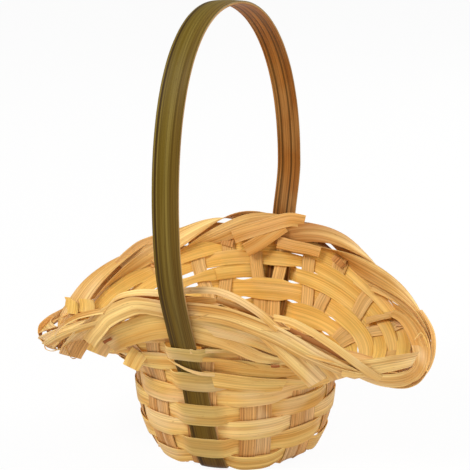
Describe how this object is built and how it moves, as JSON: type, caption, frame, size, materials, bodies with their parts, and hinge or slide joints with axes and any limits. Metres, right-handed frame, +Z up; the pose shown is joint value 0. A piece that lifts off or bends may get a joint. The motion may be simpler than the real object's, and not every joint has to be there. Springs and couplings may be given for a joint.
{
  "type": "flower basket",
  "caption": "Small woven bamboo-chip flower basket: a round pot under a wide drooping oval brim with a wrapped border, and one tall bent hoop handle.",
  "frame": {"origin": "middle of the underside, on the flat of the lowest base splint", "axes": "+Z up through the pot and the handle's arch, +X along the brim's long way to the wing that droops lower, handle in the YZ plane with its front leg towards -Y"},
  "size_m": [0.191, 0.1468, 0.2153],
  "materials": {
    "bamboo_chip": "satin",
    "bamboo_stake": "matte",
    "bamboo_skin": "satin"
  },
  "bodies": {
    "root": {"splint_front_to_back_left": "bamboo_stake", "splint_front_to_back_middle": "bamboo_stake", "splint_front_to_back_right": "bamboo_stake", "splint_side_to_side_front": "bamboo_stake", "splint_side_to_side_middle": "bamboo_stake", "splint_side_to_side_back": "bamboo_stake", "weaver_01": "bamboo_chip", "weaver_02": "bamboo_chip", "weaver_03": "bamboo_chip", "weaver_04": "bamboo_chip", "weaver_05": "bamboo_chip", "weaver_06": "bamboo_chip", "weaver_07": "bamboo_chip", "weaver_08": "bamboo_chip", "weaver_09": "bamboo_chip", "weaver_10": "bamboo_chip", "border_strand_1": "bamboo_chip", "border_strand_2": "bamboo_chip", "border_strand_3": "bamboo_chip", "handle_hoop": "bamboo_skin"}
  },
  "joints": []
}
